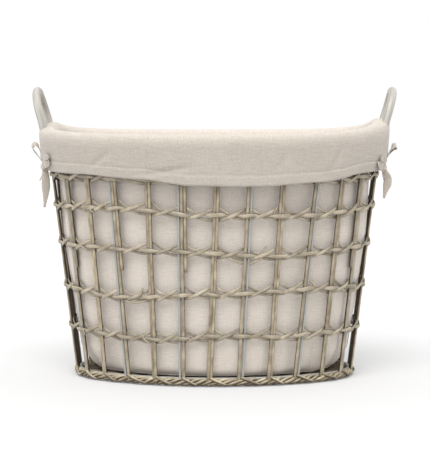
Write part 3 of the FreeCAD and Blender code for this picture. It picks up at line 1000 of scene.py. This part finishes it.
def bag_slack(share, height):
    """Folds of the hanging bag: shallow over the front, deeper upright pleats near the ends, and
    fullness that presses outwards at half its height."""
    near_end = end_distance(share)
    around = share * BAG_RIM.length
    hang = smoothstep(RIM_TOP - height, 0.03, 0.16)
    ends = 1 - smoothstep(near_end, 0.05, 0.19)
    rise = (height - BAG_FOOT) / (RIM_TOP - BAG_FOOT)
    full = smoothstep(rise, 0.0, 0.10) * (1 - smoothstep(rise, 0.5, 1.0)) * (2.0 + 13.0 * ends) * MM
    shallow = noise.noise(Vector((around / 0.075, height / 0.35, 1.3))) * 2.6 * MM
    low = 1 + 0.8 * smoothstep(0.35 - rise, 0.0, 0.35)
    pleats = noise.noise(Vector((around / 0.024, height / 0.30, 5.9))) * (0.9 + 4.2 * ends) * low * MM
    return full + (shallow + min(pleats, 1.5 * MM) - 2.6 * MM) * hang


def inside_point(share, run, foot_wave):
    """A point of the bag at a distance down the inside from the crest of the fold."""
    lift = rim_lift(share) * (1 - smoothstep(run, 0.0, 0.075))
    if run < INNER_FOLD:
        out, height = fold_place(run)
        point = wall_oval(height).at(share, out, height)
        return point + Vector((0, 0, lift))
    corner = 13.0 * MM
    height = RIM_TOP + FOLD_KNOTS[0][1] * MM - (run - INNER_FOLD) * 0.985
    corner_top = BAG_FOOT + foot_wave + corner
    inset = 0.0
    if height < corner_top:
        angle = min((corner_top - height) / corner, math.pi / 2)
        height = corner_top - corner * math.sin(angle)
        inset = corner * (1 - math.cos(angle))
    blend = smoothstep(run, INNER_FOLD, INNER_FOLD + 0.03)
    oval = bag_oval(height, inset)
    return oval.at(share, bag_slack(share, height) * blend, height + lift)


BAG_RUN = INNER_FOLD + (RIM_TOP + FOLD_KNOTS[0][1] * MM - BAG_FOOT) / 0.985 + 6.0 * MM
HEM_TURN = 1.6 * MM


def slit_reach(run, near):
    """How far the edge of a panel stays from the end of the oval: nothing down the inside, where
    the panels are sewn, wide at the crest where the handle's legs come out, and narrow again down
    the cuff."""
    if run >= 0:
        return OPENING * (1 - smoothstep(run, 0.0, 7 * MM))
    hem = 24 * MM if near else -14 * MM
    lap = 10 * MM + (hem - 10 * MM) * smoothstep(-run, 30 * MM, 70 * MM)
    return lap + (OPENING - lap) * (1 - smoothstep(-run, 3 * MM, 26 * MM))


def make_liner_panel(name, front, material, replaced):
    """Half of the liner, cut in one piece from the foot seam, up the bag, over the rim and down
    to the cuff's turned-up hem."""
    columns = 280
    rows = 168
    panel = bmesh.new()
    cloth = panel.loops.layers.uv.new("cloth")
    bmesh.ops.create_grid(panel, x_segments=columns, y_segments=rows, size=0.5)
    half_round = BAG_RIM.length / 4
    inside_rows = 0.70
    flat_places = {}
    for vert in panel.verts:
        across = vert.co.x * 2
        level = vert.co.y + 0.5
        share_middle = 0.0 if front else 0.5
        if level < inside_rows:
            run = BAG_RUN * (1 - level / inside_rows)
            reach = slit_reach(run, front)
            share = share_middle + across * (half_round - reach) / BAG_RIM.length
            wave = 4.5 * MM * noise.noise(Vector((share * BAG_RIM.length / 0.06, 0, 2.2)))
            flat_places[vert] = (across * half_round, -run)
            vert.co = inside_point(share, run, wave)
        else:
            part = (level - inside_rows) / (1 - inside_rows)
            guess = share_middle + across * (half_round - 20 * MM) / BAG_RIM.length
            length = OUTER_FOLD + (CUFF_TOP - hem_height(guess)) / 0.993
            whole = length + HEM_WIDTH + math.pi * HEM_TURN / 2
            run = part * whole
            reach = slit_reach(-min(run, length), front)
            share = share_middle + across * (half_round - reach) / BAG_RIM.length
            flat_places[vert] = (across * half_round, run)
            vert.co = hemmed_point(share, run, length)
    for face in panel.faces:
        for loop in face.loops:
            loop[cloth].uv = flat_places[loop.vert]
    bmesh.ops.recalc_face_normals(panel, faces=panel.faces)
    piece = finish_piece(name, [panel], material, "liner", replaced)
    thicken = piece.modifiers.new("cloth", "SOLIDIFY")
    thicken.thickness = CLOTH
    thicken.offset = 0.0
    return piece


def hemmed_point(share, run, length):
    """The cuff down to its lower edge, then turned up behind itself for the hem's width."""
    turn = math.pi * HEM_TURN / 2
    raised = 1.0 * MM * smoothstep(run, length - HEM_WIDTH - 1.5 * MM, length - HEM_WIDTH + 1.5 * MM)
    groove = 1.3 * MM * math.exp(-(((run - length + HEM_WIDTH) / (1.4 * MM)) ** 2))
    if run <= length:
        return outside_point(share, run, groove - raised)
    if run <= length + turn:
        angle = (run - length) / HEM_TURN * 2
        layer = HEM_TURN / 2 * (1 - math.cos(angle)) * 2
        return outside_point(share, length + HEM_TURN / 2 * math.sin(angle), layer / 2 - raised)
    return outside_point(share, length - (run - length - turn), HEM_TURN - raised)


def make_base_panel(material):
    """The flat oval bottom of the bag, a little slack between the rods it lies on."""
    panel = bmesh.new()
    cloth = panel.loops.layers.uv.new("cloth")
    foot = bag_oval(BAG_FOOT, 10 * MM)
    rings = 30
    bmesh.ops.create_grid(panel, x_segments=160, y_segments=rings - 1, size=0.5)
    for vert in panel.verts:
        share = vert.co.x + 0.5
        size = 1.0 - (vert.co.y + 0.5)
        rim = foot.at(share, 0, 0)
        sag = noise.noise(Vector((rim.x * size / 0.07, rim.y * size / 0.07, 0))) * 1.2 * MM
        vert.co = Vector((rim.x * size, rim.y * size, BAG_FOOT + 1.2 * MM + sag * (1 - size**6)))
    bmesh.ops.remove_doubles(panel, verts=panel.verts, dist=0.01 * MM)
    for each in panel.faces:
        for loop in each.loops:
            loop[cloth].uv = (loop.vert.co.x, loop.vert.co.y)
    piece = finish_piece("linen_base_panel", [panel], material, "liner", ["liner_base_panel"])
    thicken = piece.modifiers.new("cloth", "SOLIDIFY")
    thicken.thickness = CLOTH
    return piece


# ---------------------------------------------------------------- the ties


def make_tie(end, which, widths, material):
    """A flat sewn tape along its route; widths give, on the way, how broad it lies and the
    direction of its breadth."""
    side = -1 if end == "left" else 1
    points = [Vector(point) * MM for point in TIE_ROUTES[end, which]]
    line = route_points(points, 10)
    breadths = smoothed([(broad, side * x, y, z) for broad, x, y, z in widths], 12)
    places = []
    last = len(line) - 1
    for index, (point, tangent) in enumerate(zip(line, tangents(line))):
        broad, *breadth = breadths[round(index / last * (len(breadths) - 1))]
        facing = tangent.cross(Vector(breadth))
        places.append(section_place(point, tangent, facing, broad * TIE_WIDTH / 2, TIE_THICKNESS / 2))
    tape = sweep(places, 12, 0.5)
    layer = tape.verts.layers.float_vector["grain"]
    cloth = tape.loops.layers.uv.new("cloth")
    for face in tape.faces:
        for loop in face.loops:
            loop[cloth].uv = (loop.vert[layer].x, loop.vert[layer].z)
    piece = finish_piece(f"tie_{end}_{which}_tape", [tape], material, "liner", [f"tie_{end}_{which}"])


def make_knot(end, material):
    """The bow's knot: a small bundle of folded tape, pinched into creases round its middle."""
    centre = Vector(KNOT_PLACES[end]) * MM
    bundle = bmesh.new()
    cloth = bundle.loops.layers.uv.new("cloth")
    bmesh.ops.create_icosphere(bundle, subdivisions=4, radius=1.0)
    for vert in bundle.verts:
        direction = vert.co.normalized()
        crease = 0.12 * math.cos(5 * math.atan2(direction.z, direction.y)) * (1 - direction.x**2)
        lump = 0.16 * noise.noise(direction * 2.3 + Vector((centre.x * 9, 0, 0)))
        size = (1 + crease + lump) * MM
        vert.co = centre + Vector((direction.x * 6.4, direction.y * 7.0, direction.z * 6.8)) * size
    for face in bundle.faces:
        for loop in face.loops:
            loop[cloth].uv = (loop.vert.co.y, loop.vert.co.z)
    finish_piece(f"bow_knot_{end}", [bundle], material, "liner", [f"tie_knot_{end}"])


# ---------------------------------------------------------------- the studio


def make_studio():
    floor = bmesh.new()
    bmesh.ops.create_grid(floor, x_segments=1, y_segments=1, size=8.0)
    mesh = bpy.data.meshes.new("floor")
    floor.to_mesh(mesh)
    floor.free()
    paper, tree, shader = new_material("white_paper", 0.9)
    shader.inputs["Base Color"].default_value = (0.56, 0.56, 0.56, 1)
    shader.inputs["Emission Color"].default_value = (1.0, 1.0, 1.0, 1)
    shader.inputs["Emission Strength"].default_value = 0.16
    mesh.materials.append(paper)
    stage = bpy.data.objects.new("floor", mesh)
    bpy.context.scene.collection.objects.link(stage)

    world = bpy.data.worlds.new("studio")
    world.use_nodes = True
    sky = world.node_tree.nodes["Background"]
    sky.inputs["Color"].default_value = (1.0, 1.0, 1.0, 1)
    sky.inputs["Strength"].default_value = 1.0
    bpy.context.scene.world = world
    bpy.context.scene.view_settings.view_transform = "Standard"

    light = bpy.data.lights.new("broad_soft_light", "SUN")
    light.energy = 2.25
    light.angle = 0.7
    lamp = bpy.data.objects.new("broad_soft_light", light)
    lamp.rotation_euler = Vector((0.12, 0.90, -1.20)).to_track_quat("-Z", "Y").to_euler()
    bpy.context.scene.collection.objects.link(lamp)


# ---------------------------------------------------------------- building it

set_camera()

# The linen's last two colours, for the bag, are paler than the cuff's as painted light that makes up for the bag's
# shade behind the weave
linen = oatmeal_linen("oatmeal_linen", "9c948a", "b9b1a7", "bcb2a7", "d9d0c6")
tape_linen = oatmeal_linen("tie_linen", "a59c90", "bfb6aa", "a59c90", "bfb6aa")
# The last colour and range of each willow material set the painted shade on the sides and back of its rods
willow = washed_willow("washed_willow", "6c604f", "988a73", "b6a991", "584e3f", 0.0, 0.6)
split_cane = washed_willow("washed_split_cane", "786d5d", "a0947f", "bdb29d", "4f4538", 0.05, 0.6)
border_willow = washed_willow("border_willow", "70634d", "a09278", "c6bba3", "857b6b", -0.4, 0.5)

# Breadth as a share of the tape's width, and its direction at the left end (x is mirrored)
FRONT_TIE_WIDTHS = [
    (0.8, 0.0, 0.2, 1.0),
    (0.55, 0.3, 0.9, 0.2),
    (1.0, 0.35, 0.85, 0.45),
    (1.2, 0.35, 0.8, 0.5),
    (1.2, 0.35, 0.8, 0.5),
    (1.0, 0.35, 0.85, 0.45),
    (0.5, 0.9, -0.2, 0.3),
    (0.75, 1.0, -0.3, 0.1),
    (1.15, 1.0, -0.3, 0.1),
    (1.25, 1.0, -0.3, 0.1),
    (0.35, 1.0, -0.3, 0.1),
]
BACK_TIE_WIDTHS = [
    (0.8, 0.0, 0.2, 1.0),
    (0.7, 0.2, 0.2, 0.9),
    (1.2, 0.3, 0.2, 0.9),
    (1.25, 0.3, 0.2, 0.9),
    (1.2, 0.3, 0.2, 0.9),
    (0.6, 0.2, 0.4, 0.8),
    (0.6, 0.3, 0.8, 0.3),
    (0.35, 0.3, 0.8, 0.3),
]
for end in ("left", "right"):
    make_tie(end, "front", FRONT_TIE_WIDTHS, tape_linen)
    make_tie(end, "back", BACK_TIE_WIDTHS, tape_linen)
    make_knot(end, tape_linen)

for number in range(STAKE_COUNT):
    make_stake(number, willow)
for row in range(ROW_COUNT):
    make_weave_row(row, split_cane)
make_foot_border(border_willow)
make_rim_border(border_willow)
make_base(border_willow)

wire = painted_wire()
for node in ("wire_uprights", "wire_rim_ring", "wire_foot_ring"):
    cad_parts[node].material_slots[0].material = wire
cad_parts["handle_pegs"].material_slots[0].material = plain_steel()

cane = whitewashed_cane()
make_handle(-1, "left", cane, split_cane)
make_handle(1, "right", cane, split_cane)

front_panel = make_liner_panel(
    "linen_front_panel", True, linen,
    ["liner_front_panel", "cuff_front", "cuff_flap_left_front", "cuff_flap_right_front"],
)
back_panel = make_liner_panel(
    "linen_back_panel", False, linen,
    ["liner_back_panel", "cuff_back", "cuff_flap_left_back", "cuff_flap_right_back"],
)
base_panel = make_base_panel(linen)

make_studio()
